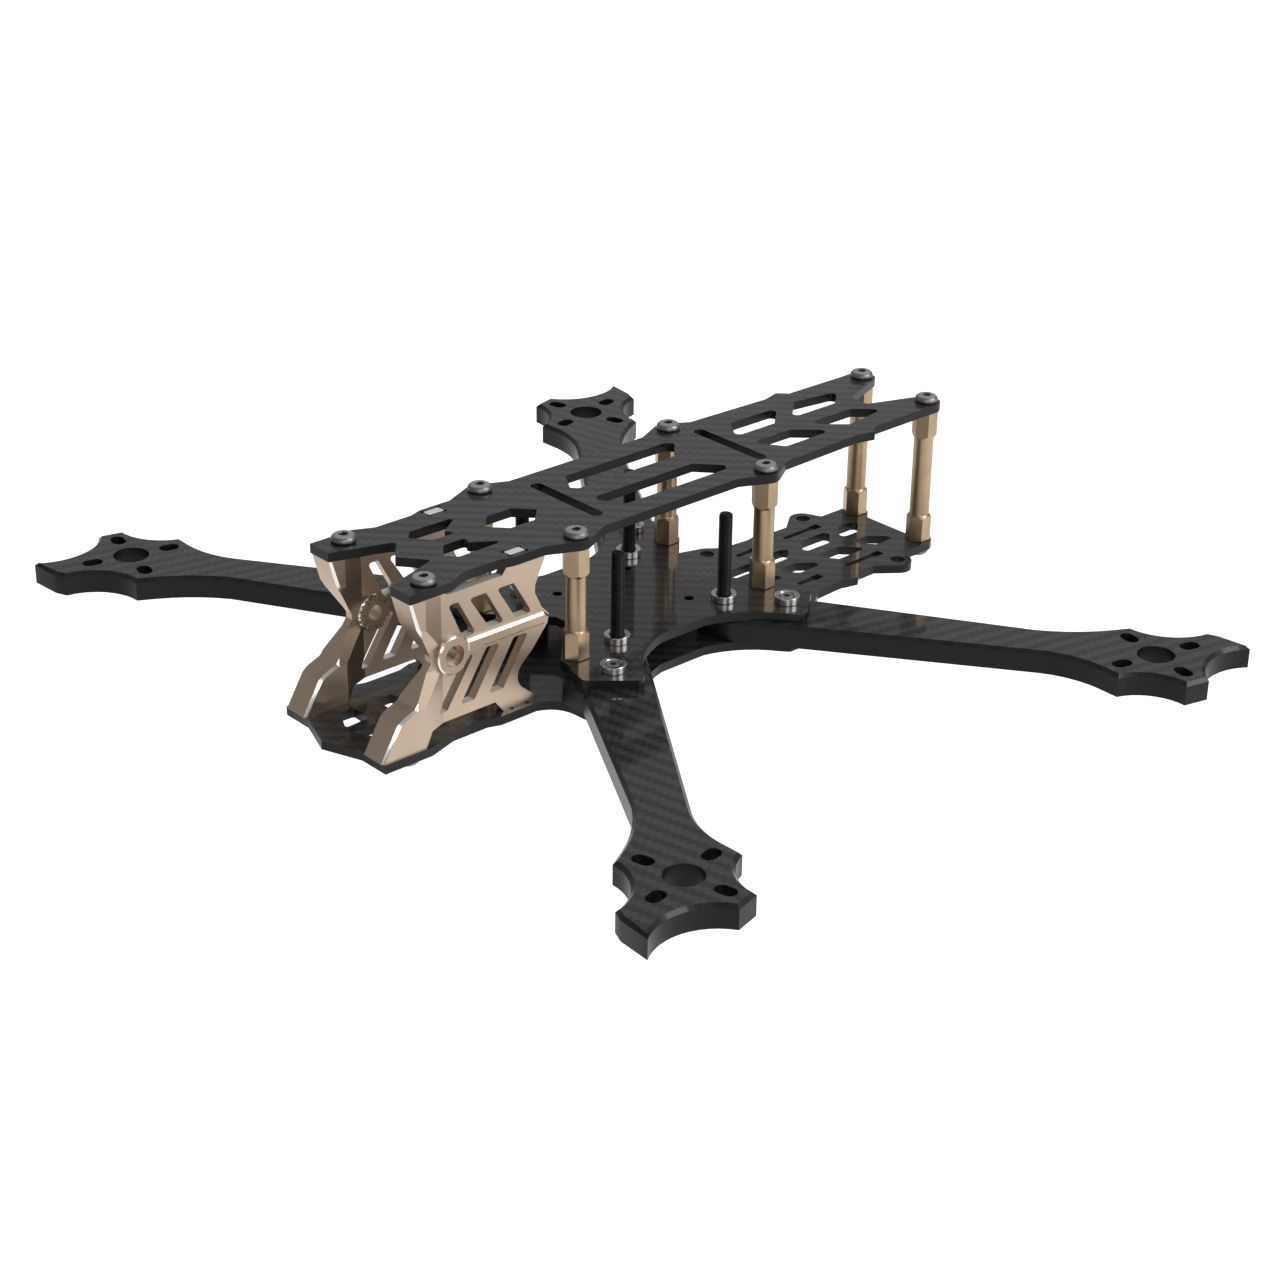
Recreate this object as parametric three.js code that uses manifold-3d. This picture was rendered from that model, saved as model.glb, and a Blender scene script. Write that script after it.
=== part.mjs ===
// Bare airframe of a small quadcopter: a top, a middle and a lower carbon plate, four carbon arms
// clamped between the lower two, two metal side plates that carry the camera, six standoffs and
// the screws and nuts that hold it all together.
//
// Millimetres. +X is the right-hand side, +Y points to the tail, +Z is up. The origin is on the
// top face of the middle plate, at the centre of the electronics stack's bolt pattern.

import * as THREE from 'three';
import { mergeVertices } from 'three/addons/utils/BufferGeometryUtils.js';
import { ConvexGeometry } from 'three/addons/geometries/ConvexGeometry.js';
import Module from 'manifold-3d';

const wasm = await Module();
wasm.setup();

// ---------------------------------------------------------------- driving dimensions

// Levels
const PLATE = 2;
const ARM_THICKNESS = 5;
const BAY_HEIGHT = 25;
const MID_BOTTOM = -PLATE;
const LOWER_TOP = MID_BOTTOM - ARM_THICKNESS;
const LOWER_BOTTOM = LOWER_TOP - PLATE;
const TOP_BOTTOM = BAY_HEIGHT;
const TOP_TOP = TOP_BOTTOM + PLATE;

// Bolt positions in plan. They are drawn in the +X, +Y corner and mirrored to the others, except
// that the side plates' are given where they are, at the front.
const FRONT_MOTOR = [90.2, 66];
const REAR_MOTOR = [90.2, 68];
const STACK = [15.25, 15.25];
const SMALL_STACK = [10, 10];
const ARM_BOLT = [24.8, 24.8];
const MID_STANDOFF = [15.3, 26.6];
const REAR_STANDOFF = [10.1, 82.6];
const SIDE_PLATE_X = 12.9;
const SIDE_TOP_BOLT = [SIDE_PLATE_X, -63.3];
const SIDE_FOOT_BOLT = [SIDE_PLATE_X, -68.5];

// M3 hardware
const SCREW_RADIUS = 1.5;
const HOLE_RADIUS = 1.65;
const HEAD_RADIUS = 2.6;
const HEAD_HEIGHT = 1.6;
const SHORT_SCREW = 8;
const NUT_RADIUS = 2.75;
const NUT_HEIGHT = 1.6;
const STACK_SCREW_TOP = 20;
const ARM_SCREW_TOP = 1.4;
const STANDOFF_FLATS = 5;
const STANDOFF_WAIST_RADIUS = 2.25;
const STANDOFF_BORE_DEPTH = 7;

// Side plates: a thin panel with thick blocks at its front end
const PANEL_HALF = 1;
const BLOCK_HALF = 3.3;
const TAB = { from: -42.5, to: -38.7 };
const TAB_GAP = 0.1;

// Curves are split so that no facet strays further than this from the true arc. Bolt holes and
// screws have fixed counts.
const CHORD_ERROR = 0.035;
const BOLT_HOLE_FACETS = 12;
const SCREW_FACETS = 16;

// ---------------------------------------------------------------- outlines
//
// An outline is a list of steps, taken anticlockwise:
//   [x, y]                a corner
//   [x, y, radius]        a rounded corner between two straight edges
//   { via, to }           an arc from the last point, through via, to `to`
//   { around, radius }    a lug: straight on to the circle, round it, and straight off again

function facetCount(radius, sweep) {
  const facetAngle = 2 * Math.acos(1 - CHORD_ERROR / radius);
  return Math.max(2, Math.ceil(Math.abs(sweep) / facetAngle));
}

function polar([x, y], radius, angle) {
  return [x + radius * Math.cos(angle), y + radius * Math.sin(angle)];
}

function bearing([fromX, fromY], [toX, toY]) {
  return Math.atan2(toY - fromY, toX - fromX);
}

function distance([ax, ay], [bx, by]) {
  return Math.hypot(bx - ax, by - ay);
}

function circleCentre([ax, ay], [bx, by], [cx, cy]) {
  const a = ax * ax + ay * ay;
  const b = bx * bx + by * by;
  const c = cx * cx + cy * cy;
  const scale = 2 * (ax * (by - cy) + bx * (cy - ay) + cx * (ay - by));
  return [
    (a * (by - cy) + b * (cy - ay) + c * (ay - by)) / scale,
    (a * (cx - bx) + b * (ax - cx) + c * (bx - ax)) / scale,
  ];
}

// The points of the arc through three points, without the first one.
function arcThrough(from, via, to) {
  const centre = circleCentre(from, via, to);
  const radius = distance(centre, from);
  const start = bearing(centre, from);
  const turnTo = (point) =>
    THREE.MathUtils.euclideanModulo(bearing(centre, point) - start, 2 * Math.PI);
  let sweep = turnTo(to);
  if (turnTo(via) > sweep) {
    sweep -= 2 * Math.PI;
  }
  const count = facetCount(radius, sweep);
  const step = sweep / count;
  return Array.from({ length: count }, (_, i) => polar(centre, radius, start + step * (i + 1)));
}

function roundedCorner(before, corner, after, radius) {
  const inward = bearing(corner, before);
  const outward = bearing(corner, after);
  const between = THREE.MathUtils.euclideanModulo(outward - inward, 2 * Math.PI);
  const half = between / 2;
  const middle = inward + half;
  const sine = Math.abs(Math.sin(half));
  const setback = Math.abs(radius / Math.tan(half));
  const towardsCentre = half < Math.PI / 2 ? middle : middle + Math.PI;
  const start = polar(corner, setback, inward);
  const via = polar(corner, radius / sine - radius, towardsCentre);
  return [start, ...arcThrough(start, via, polar(corner, setback, outward))];
}

function lug(before, centre, radius, after) {
  const spanIn = distance(before, centre);
  const spanOut = distance(centre, after);
  const angleIn = bearing(before, centre) - Math.asin(radius / spanIn);
  const angleOut = bearing(after, centre) + Math.asin(radius / spanOut);
  const start = polar(before, Math.sqrt(spanIn ** 2 - radius ** 2), angleIn);
  const end = polar(after, Math.sqrt(spanOut ** 2 - radius ** 2), angleOut);
  const first = bearing(centre, start);
  const sweep = THREE.MathUtils.euclideanModulo(bearing(centre, end) - first, 2 * Math.PI);
  return [start, ...arcThrough(start, polar(centre, radius, first + sweep / 2), end)];
}

function outline(steps) {
  const points = [];
  const anchor = (step) => step.to ?? step.around ?? step;
  steps.forEach((step, i) => {
    const before = anchor(steps.at(i - 1));
    const after = anchor(steps[(i + 1) % steps.length]);
    if (step.via) {
      points.push(...arcThrough(points.at(-1), step.via, step.to));
    } else if (step.around) {
      points.push(...lug(before, step.around, step.radius, after));
    } else if (step[2]) {
      points.push(...roundedCorner(before, step, after, step[2]));
    } else {
      points.push([step[0], step[1]]);
    }
  });
  return points;
}

function flipX(points) {
  return points.map(([x, y]) => [-x, y]).reverse();
}

function flipY(points) {
  return points.map(([x, y]) => [x, -y]).reverse();
}

// The +X half of an outline, from front to rear, made whole. A point on the centre line is shared.
function mirroredOutline(steps) {
  const half = outline(steps);
  const otherHalf = flipX(half).filter(([x]) => Math.abs(x) > CHORD_ERROR);
  return [...half, ...otherHalf];
}

function onBothSides(points) {
  return [points, flipX(points)];
}

function circle(centre, radius, count = facetCount(radius, 2 * Math.PI)) {
  const step = (2 * Math.PI) / count;
  return Array.from({ length: count }, (_, i) => polar(centre, radius, step * i));
}

// A slot with round ends, `length` from end to end along `angle`.
function slot(centre, length, width, angle) {
  const radius = width / 2;
  const reach = length / 2 - radius;
  const ends = [angle, angle + Math.PI];
  const steps = ends.flatMap((end) => {
    const middle = polar(centre, reach, end);
    return [
      polar(middle, radius, end - Math.PI / 2),
      { via: polar(middle, radius, end), to: polar(middle, radius, end + Math.PI / 2) },
    ];
  });
  return outline(steps);
}

// A cut-out whose corners all have the same small radius.
function cutout(corners, radius = 0.5) {
  return outline(corners.map(([x, y, own]) => [x, y, own ?? radius]));
}

// The slot that takes a side plate's tab, with a round relief at each corner.
function tabSlot() {
  const relief = 0.5;
  const reliefReach = relief * Math.SQRT1_2;
  const left = SIDE_PLATE_X - PANEL_HALF - TAB_GAP;
  const right = SIDE_PLATE_X + PANEL_HALF + TAB_GAP;
  const front = TAB.from - TAB_GAP;
  const back = TAB.to + TAB_GAP;
  return outline([
    [right - relief, front],
    { via: [right + reliefReach, front - reliefReach], to: [right, front + relief] },
    [right, back - relief],
    { via: [right + reliefReach, back + reliefReach], to: [right - relief, back] },
    [left + relief, back],
    { via: [left - reliefReach, back + reliefReach], to: [left, back - relief] },
    [left, front + relief],
    { via: [left - reliefReach, front - reliefReach], to: [left + relief, front] },
  ]);
}

function boltHoles(position, radius = HOLE_RADIUS) {
  return onBothSides(circle(position, radius, BOLT_HOLE_FACETS));
}

// The same holes at the front and at the rear.
function fourBoltHoles(position, radius = HOLE_RADIUS) {
  const pair = boltHoles(position, radius);
  return [...pair, ...pair.map(flipY)];
}

// ---------------------------------------------------------------- solids

const X_AXIS = new THREE.Vector3(1, 0, 0);
const Y_AXIS = new THREE.Vector3(0, 1, 0);
const Z_AXIS = new THREE.Vector3(0, 0, 1);

// Turns a shape drawn in (y, z) upright so that it extrudes along X, and a lathe's axis to Z.
const UPRIGHT = new THREE.Matrix4().makeBasis(Y_AXIS, Z_AXIS, X_AXIS);

function toVectors(points) {
  return points.map(([x, y]) => new THREE.Vector2(x, y));
}

function extrude(points, depth) {
  const shape = new THREE.Shape(toVectors(points));
  return new THREE.ExtrudeGeometry(shape, { depth, bevelEnabled: false });
}

// An extrusion from 0 to depth whose long edges are chamfered all round.
function chamferedExtrude(points, depth, chamfer) {
  return new THREE.ExtrudeGeometry(new THREE.Shape(toVectors(points)), {
    depth: depth - 2 * chamfer,
    bevelThickness: chamfer,
    bevelSize: chamfer,
    bevelOffset: -chamfer,
    bevelSegments: 1,
  }).translate(0, 0, chamfer);
}

function lathe(profile, segments) {
  return new THREE.LatheGeometry(toVectors(profile), segments).applyMatrix4(UPRIGHT);
}

function upright(radius, bottom, top, [x, y], segments) {
  return new THREE.CylinderGeometry(radius, radius, top - bottom, segments)
    .applyMatrix4(UPRIGHT)
    .translate(x, y, (top + bottom) / 2);
}

function solid(geometry) {
  geometry.deleteAttribute('normal');
  geometry.deleteAttribute('uv');
  const merged = mergeVertices(geometry);
  const index = merged.index.array;
  const triangles = [];
  for (let i = 0; i < index.length; i += 3) {
    const [a, b, c] = index.slice(i, i + 3);
    if (a !== b && b !== c && c !== a) {
      triangles.push(a, b, c);
    }
  }
  return new wasm.Manifold(new wasm.Mesh({
    numProp: 3,
    vertProperties: merged.attributes.position.array,
    triVerts: new Uint32Array(triangles),
  }));
}

function geometryOf(manifold) {
  const mesh = manifold.getMesh();
  const geometry = new THREE.BufferGeometry();
  geometry.setAttribute('position', new THREE.BufferAttribute(mesh.vertProperties, 3));
  geometry.setIndex(new THREE.BufferAttribute(mesh.triVerts, 1));
  return geometry;
}

// Cuts holes through a flat blank that lies between two levels.
function cutThrough(blank, holes, bottom, top) {
  const overrun = 1;
  return holes.reduce((shape, hole) => {
    const cutter = extrude(hole, top - bottom + 2 * overrun).translate(0, 0, bottom - overrun);
    return shape.subtract(solid(cutter));
  }, blank);
}

function flatPlate(edge, holes, bottom) {
  const blank = solid(extrude(edge, PLATE).translate(0, 0, bottom));
  return geometryOf(cutThrough(blank, holes, bottom, bottom + PLATE));
}

// ---------------------------------------------------------------- top plate

const TOP_LUG_RADIUS = 3.2;
const REAR_LUG_RADIUS = 3.2;

function topPlateEdge() {
  const [standoffX, standoffY] = MID_STANDOFF;
  return mirroredOutline([
    [0, -60.3],
    [5.3, -56],
    [6, -56.8],
    [10, -69.2],
    [16.2, -69.2],
    [16.2, -58.8],
    [14.2, -54.5],
    [14.2, -45.5],
    [15.2, -42.5],
    [15.2, -34.7],
    { around: [standoffX, -standoffY], radius: TOP_LUG_RADIUS },
    [15.2, -18.8],
    [15.2, 18.8],
    { around: [standoffX, standoffY], radius: TOP_LUG_RADIUS },
    [15.1, 33],
    [14.3, 55.5],
    [15.5, 60.1],
    [13.4, 62.2],
    [13.2, 79],
    { around: REAR_STANDOFF, radius: REAR_LUG_RADIUS },
    [2.6, 71.1],
  ]);
}

function topPlateCutouts() {
  const strapLength = 21.5;
  const strapWidth = 2.7;
  const hexagonHalf = [
    [0, -37.5],
    [3.8, -34],
    [3.8, -27.7],
    [0, -24],
  ];
  const sideWindows = [
    cutout([[2.8, -10.2], [4.2, -11.4], [9.6, -7.9], [9.6, 20.4], [8, 21.7], [2.8, 17]]),
    cutout([[1.7, -49.5], [5.6, -52.7], [7.9, -50.6], [7.7, -39.1], [3.7, -45.2], [1.7, -43.9]]),
    cutout([[2.5, 34.9, 1.1], [8.8, 39.4], [8.7, 53.7, 1.1], [2.5, 46.8]]),
    cutout([[2.4, 51.9, 1.1], [8.8, 59.2], [7.15, 71.3, 1.1], [2.4, 66]]),
  ];
  return [
    slot([0, -16], strapLength, strapWidth, 0),
    slot([0, 30.7], strapLength, strapWidth, 0),
    mirroredOutline(hexagonHalf),
    ...sideWindows.flatMap(onBothSides),
    ...onBothSides(tabSlot()),
  ];
}

function topPlate() {
  const holes = [
    ...topPlateCutouts(),
    ...boltHoles(SIDE_TOP_BOLT),
    ...fourBoltHoles(MID_STANDOFF),
    ...boltHoles(REAR_STANDOFF),
  ];
  return flatPlate(topPlateEdge(), holes, TOP_BOTTOM);
}

// ---------------------------------------------------------------- middle and lower plates

// Both plates share the waist between the front and rear arms.
const WAIST_X = 19.1;
const WAIST_STRAIGHT = 6;
const WAIST_VIA = [22.4, 13.7];
const WAIST_END = [28.4, 19.8];

function frontOf([x, y, ...rest]) {
  return [x, -y, ...rest];
}

function waistSteps() {
  return [
    frontOf(WAIST_END),
    { via: frontOf(WAIST_VIA), to: [WAIST_X, -WAIST_STRAIGHT] },
    [WAIST_X, WAIST_STRAIGHT],
    { via: WAIST_VIA, to: WAIST_END },
  ];
}

function midPlate() {
  const rearLobe = [
    [32.6, 23.1, 2],
    [24.6, 32.5, 1.5],
    [21, 31.9, 3],
    [17.5, 30.4, 3],
    [14.5, 30],
    [1.5, 17.6],
  ];
  const frontLobe = rearLobe.map(frontOf).reverse();
  const smallScrewRadius = 1.1;
  const holes = [
    ...fourBoltHoles(STACK),
    ...fourBoltHoles(ARM_BOLT),
    ...fourBoltHoles(MID_STANDOFF),
    ...fourBoltHoles(SMALL_STACK, smallScrewRadius),
  ];
  return flatPlate(mirroredOutline([...frontLobe, ...waistSteps(), ...rearLobe]), holes, MID_BOTTOM);
}

const SPARE_HOLES = [[15.2, 39.4], [15.2, 70.4]];

function lowerPlateEdge() {
  const [rearX, rearY] = REAR_STANDOFF;
  const spareLugRadius = 3.2;
  return mirroredOutline([
    [0, -79.8],
    [9, -76.5],
    [16.5, -76.5],
    [16.5, -64.8],
    [14.4, -58],
    [14.4, -49.3],
    [15.4, -46.3],
    [15.4, -37.3],
    { via: [17.3, -34.1], to: [21.2, -32.4] },
    [24.8, -32.2, 1],
    [30, -25.6, 1],
    [30, -21.2, 1],
    ...waistSteps(),
    [30, 21.2, 1],
    [30, 25.6, 1],
    [24.8, 32.2, 1],
    [20.4, 33],
    { around: SPARE_HOLES[0], radius: spareLugRadius },
    [15.3, 44.5],
    [14.8, 52.2],
    [15.9, 56.6],
    [14.2, 58.9],
    [14.1, 63.8],
    { around: SPARE_HOLES[1], radius: spareLugRadius },
    [rearX + REAR_LUG_RADIUS, 74.6],
    [rearX + REAR_LUG_RADIUS, rearY],
    { via: [rearX, rearY + REAR_LUG_RADIUS], to: [rearX - REAR_LUG_RADIUS, rearY] },
  ]);
}

// A narrow strap slot that ends in a wider pocket.
function keySlot(centreX, front, neck, back) {
  const narrow = 0.65;
  const wide = 1;
  return outline([
    [centreX - narrow, front],
    [centreX + narrow, front],
    [centreX + narrow, neck],
    [centreX + wide, neck],
    [centreX + wide, back],
    [centreX - wide, back],
    [centreX - wide, neck],
    [centreX - narrow, neck],
  ]);
}

function lowerPlate() {
  const driverHoleRadius = 3.1;
  const keySlotX = 9.9;
  const windows = [
    cutout([[1.3, -61.2], [6.8, -61.5], [6.8, -57.4], [1.3, -56.3]]),
    cutout([[1.2, -73], [6.9, -70], [6.8, -66.8], [1.6, -67]]),
    cutout([[1.6, 69, 1], [6.3, 73], [6.3, 79.6, 1], [1.6, 74.9]]),
    cutout([[1.5, 56.9, 1], [6.3, 60.5], [6.3, 70.1, 1], [1.5, 65.3]]),
    cutout([[1.5, 45, 1], [5.8, 48.3], [5.8, 56.6, 1], [1.5, 51.4]]),
    cutout([[1.5, 33.5, 1], [5.2, 36.5], [5.2, 45.2, 1], [1.5, 40.8]]),
  ];
  const holes = [
    ...windows.flatMap(onBothSides),
    ...onBothSides(tabSlot()),
    ...onBothSides(keySlot(keySlotX, 59, 67.8, 70.4)),
    ...onBothSides(keySlot(keySlotX, 43.8, 48.2, 50.8)),
    ...SPARE_HOLES.flatMap((position) => boltHoles(position)),
    ...fourBoltHoles(STACK),
    ...fourBoltHoles(ARM_BOLT),
    ...fourBoltHoles(MID_STANDOFF, driverHoleRadius),
    ...boltHoles(REAR_STANDOFF),
    ...boltHoles(SIDE_FOOT_BOLT),
  ];
  return flatPlate(lowerPlateEdge(), holes, LOWER_BOTTOM);
}

// ---------------------------------------------------------------- arms

const ARM_CHAMFER = 0.75;
const MOTOR_CENTRE_RADIUS = 4;
const MOTOR_SLOT = { length: 4.6, width: 3.1, radius: 8.85 };
const MOTOR_PAD_ANGLE = THREE.MathUtils.degToRad(31.7);

// An arm's walls, drawn in the +X, +Y corner. The motor pad has four horns with hollow sides
// between them, and the horn that points outwards is the longest.
function armEdge([motorX, motorY]) {
  const pad = (x, y) => [motorX + x, motorY + y];
  const [stackX, stackY] = STACK;
  const rootRadius = 5.5;
  return outline([
    [20.7, 11.9, 2],
    pad(-16.6, -17.3),
    { via: pad(-10.7, -14.4), to: pad(-4.5, -13.35) },
    pad(1, -13.5),
    { via: pad(5.2, -7.9), to: pad(12.5, -5.9) },
    pad(13.9, -0.3),
    { via: pad(8.1, 8.7), to: pad(10.5, 18.2) },
    pad(3, 17.7),
    pad(0.3, 16.6),
    { via: pad(-4.1, 9), to: pad(-11.9, 6.4) },
    pad(-13.9, 2.7),
    { via: pad(-17.9, -3.2), to: pad(-24.6, -9.6) },
    [25, 33],
    [18.3, 33.4, 1],
    [18.3, 22.6],
    [stackX - 2.2, stackY + 5.05],
    { via: [stackX - rootRadius, stackY], to: [stackX - 0.8, stackY - 5.45] },
  ]);
}

function motorHoles(motor) {
  const slots = [1, 3, 5, 7].map((eighth) => {
    const angle = MOTOR_PAD_ANGLE + (eighth * Math.PI) / 4;
    return slot(polar(motor, MOTOR_SLOT.radius, angle), MOTOR_SLOT.length, MOTOR_SLOT.width, angle);
  });
  return [...slots, circle(motor, MOTOR_CENTRE_RADIUS)];
}

// Only the upper edges are chamfered: the blank's lower ones are trimmed off. sideX and sideY are
// 1 or -1 and say which corner of the airframe the arm reaches to.
function arm(sideX, sideY, motor) {
  const place = (points) => points.map(([x, y]) => [x * sideX, y * sideY]);
  const blank = chamferedExtrude(place(armEdge(motor)), ARM_THICKNESS + ARM_CHAMFER, ARM_CHAMFER);
  const body = solid(blank.translate(0, 0, LOWER_TOP - ARM_CHAMFER))
    .trimByPlane([0, 0, 1], LOWER_TOP);
  const boltHole = (position) => circle(position, HOLE_RADIUS, BOLT_HOLE_FACETS);
  const holes = [...motorHoles(motor), boltHole(STACK), boltHole(ARM_BOLT)].map(place);
  return geometryOf(cutThrough(body, holes, LOWER_TOP, MID_BOTTOM));
}

// ---------------------------------------------------------------- camera side plates
//
// Their outlines are drawn in (y, z), as seen from the right.

const SIDE_FRONT_EDGE = [
  [-67.4, 18.9],
  [-62.7, 11],
  [-62.7, 9.7],
  [-68.3, 2.2],
  [-71.5, 0.9],
  [-72.7, 0],
];
const SIDE_TOP_FRONT = [-69.1, TOP_BOTTOM];
const SIDE_FOOT_FRONT = [-76.9, LOWER_TOP];
const PIVOT = [-57.6, 10.1];
const PIVOT_BOSS_RADIUS = 4.1;

function sideProfile() {
  const recessTop = 23.2;
  const recessBottom = -4.25;
  return outline([
    SIDE_FOOT_FRONT,
    [-66, LOWER_TOP],
    [-63.9, recessBottom],
    [-46.8, recessBottom],
    [-44.6, LOWER_TOP],
    [TAB.from, LOWER_TOP],
    [TAB.from, LOWER_BOTTOM],
    [TAB.to, LOWER_BOTTOM],
    [TAB.to, LOWER_TOP],
    [-35.9, LOWER_TOP],
    [-36.2, -6.2],
    [-39, -3.7],
    { via: [-40.9, -0.6], to: [-39.6, 2.2] },
    [-37, 4.5],
    [-33, 9.2],
    [-32.6, 11.2],
    [-34.6, 13.4],
    [-36.2, 16.8],
    [-36.2, 18.5],
    [-33.2, TOP_BOTTOM],
    [TAB.to, TOP_BOTTOM],
    [TAB.to, TOP_TOP],
    [TAB.from, TOP_TOP],
    [TAB.from, TOP_BOTTOM],
    [-43.2, TOP_BOTTOM],
    [-44.6, recessTop],
    [-58.4, recessTop],
    [-60.5, TOP_BOTTOM],
    SIDE_TOP_FRONT,
    ...SIDE_FRONT_EDGE,
  ]);
}

function sideWindows() {
  return [
    cutout([[-54.6, 12.5], [-51.6, 13.1], [-55.7, 20.8], [-58.2, 20.8]]),
    cutout([[-48.1, 13], [-44.3, 13], [-48.7, 20.7], [-53, 20.7]]),
    cutout([[-41.3, 13], [-37.1, 13], [-41.7, 20.7], [-46, 20.7]]),
    cutout([[-61.5, -2], [-59, -2], [-52, 8.5], [-54.5, 8.5]]),
    cutout([[-55.7, -1.8], [-52.1, -1.8], [-45.3, 8.8], [-48.8, 8.8]]),
    cutout([[-48.5, -1.8], [-44.7, -1.8], [-38, 8.8], [-41.8, 8.8]]),
  ];
}

// The thick front end, chamfered along its front edges. It runs on past the ends that it is
// trimmed to, so that only the front is chamfered.
function sideBlockBlank() {
  const overrun = 2;
  const topRunOn = 0.6;
  const footRunOn = 1.2;
  const back = -52;
  const chamfer = 0.55;
  const [topFrontY] = SIDE_TOP_FRONT;
  const [footFrontY] = SIDE_FOOT_FRONT;
  const points = [
    [footFrontY - footRunOn, LOWER_TOP - overrun],
    [back, LOWER_TOP - overrun],
    [back, TOP_BOTTOM + overrun],
    [topFrontY - topRunOn, TOP_BOTTOM + overrun],
    ...SIDE_FRONT_EDGE,
  ];
  return chamferedExtrude(points, 2 * BLOCK_HALF, chamfer)
    .applyMatrix4(UPRIGHT)
    .translate(-BLOCK_HALF, 0, 0);
}

// A block that is full thickness up to `crease` and `backFull`, and falls away evenly from there
// to the panel's thickness at `foot` and `backThin`.
function sidePad(end, crease, foot, backFull) {
  const front = -80;
  const backThin = -60;
  const outlineAt = (half, level, back) =>
    [-half, half].flatMap((x) =>
      [end, level].flatMap((z) => [front, back].map((y) => new THREE.Vector3(x, y, z))));
  return new ConvexGeometry([
    ...outlineAt(BLOCK_HALF, crease, backFull),
    ...outlineAt(PANEL_HALF, foot, backThin),
  ]);
}

function sideBlocks() {
  const upper = sidePad(TOP_TOP, 18.5, 12, -65.5);
  const lower = sidePad(LOWER_BOTTOM, 1.8, 8, -66);
  return solid(sideBlockBlank())
    .intersect(solid(upper).add(solid(lower)))
    .intersect(sidePrism(sideProfile(), -BLOCK_HALF, BLOCK_HALF));
}

// A (y, z) shape extruded between two distances from the panel's middle plane.
function sidePrism(points, from, to, chamfer = 0) {
  const prism = chamfer
    ? chamferedExtrude(points, to - from, chamfer)
    : extrude(points, to - from);
  return solid(prism.applyMatrix4(UPRIGHT).translate(from, 0, 0));
}

// Radial grooves round the pivot, which lock the camera's angle.
function serrations() {
  const count = 20;
  const middleRadius = 3.3;
  const length = 1.5;
  const width = 0.5;
  return Array.from({ length: count }, (_, i) => {
    const angle = (i * 2 * Math.PI) / count;
    return slot(polar(PIVOT, middleRadius, angle), length, width, angle);
  });
}

// outward is 1 for the right-hand plate and -1 for the left-hand one.
function sidePlate(outward) {
  const raised = (points, from, to, chamfer) => {
    const [near, far] = outward > 0 ? [from, to] : [-to, -from];
    return sidePrism(points, near, far, chamfer);
  };
  const bossFace = 2.1;
  const bossChamfer = 0.3;
  const ribFace = 2.2;
  const ribChamfer = 0.5;
  const counterboreRadius = 2.3;
  const counterboreFloor = 0.6;
  const grooveDepth = 0.45;
  const clear = BLOCK_HALF + 1;
  const boreDepth = STANDOFF_BORE_DEPTH;
  const rib = outline([[-54.6, 9.8], [-34.6, 9.8], [-33, 11.2], [-34.6, 12.5], [-54.6, 12.5]]);
  const topBore = upright(
    HOLE_RADIUS, TOP_BOTTOM - boreDepth, TOP_TOP, [0, SIDE_TOP_BOLT[1]], BOLT_HOLE_FACETS);
  const footBore = upright(
    HOLE_RADIUS, LOWER_BOTTOM, LOWER_TOP + boreDepth, [0, SIDE_FOOT_BOLT[1]], BOLT_HOLE_FACETS);
  const plate = sidePrism(sideProfile(), -PANEL_HALF, PANEL_HALF)
    .add(sideBlocks())
    .add(sidePrism(circle(PIVOT, PIVOT_BOSS_RADIUS), -bossFace, bossFace, bossChamfer))
    .add(raised(rib, 0, ribFace, ribChamfer))
    .subtract(raised(circle(PIVOT, counterboreRadius), counterboreFloor, clear))
    .subtract(sidePrism(circle(PIVOT, HOLE_RADIUS), -clear, clear))
    .subtract(solid(topBore))
    .subtract(solid(footBore));
  const grooved = serrations().reduce(
    (shape, points) => shape.subtract(raised(points, -clear, grooveDepth - bossFace)), plate);
  const opened = sideWindows().reduce(
    (shape, points) => shape.subtract(sidePrism(points, -clear, clear)), grooved);
  return geometryOf(opened).translate(outward * SIDE_PLATE_X, 0, 0);
}

// ---------------------------------------------------------------- standoffs, screws and nuts

// Hexagonal at both ends and turned down to a round waist between them.
function standoff([x, y], bottom) {
  const top = TOP_BOTTOM;
  const height = top - bottom;
  const corner = STANDOFF_FLATS / Math.sqrt(3);
  const hexLength = 5.8;
  const shoulderEnd = 6.5;
  const clear = corner + 0.2;
  const waistFacets = 24;
  const bore = (from, to) => solid(upright(HOLE_RADIUS, from, to, [0, 0], BOLT_HOLE_FACETS));
  const envelope = lathe([
    [0, 0],
    [clear, 0],
    [clear, hexLength],
    [STANDOFF_WAIST_RADIUS, shoulderEnd],
    [STANDOFF_WAIST_RADIUS, height - shoulderEnd],
    [clear, height - hexLength],
    [clear, height],
    [0, height],
  ], waistFacets);
  const hexagon = upright(corner, 0, height, [0, 0], 6).rotateZ(Math.PI / 6);
  const turned = solid(hexagon)
    .intersect(solid(envelope))
    .subtract(bore(-1, STANDOFF_BORE_DEPTH))
    .subtract(bore(height - STANDOFF_BORE_DEPTH, height + 1));
  return geometryOf(turned).translate(x, y, bottom);
}

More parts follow.
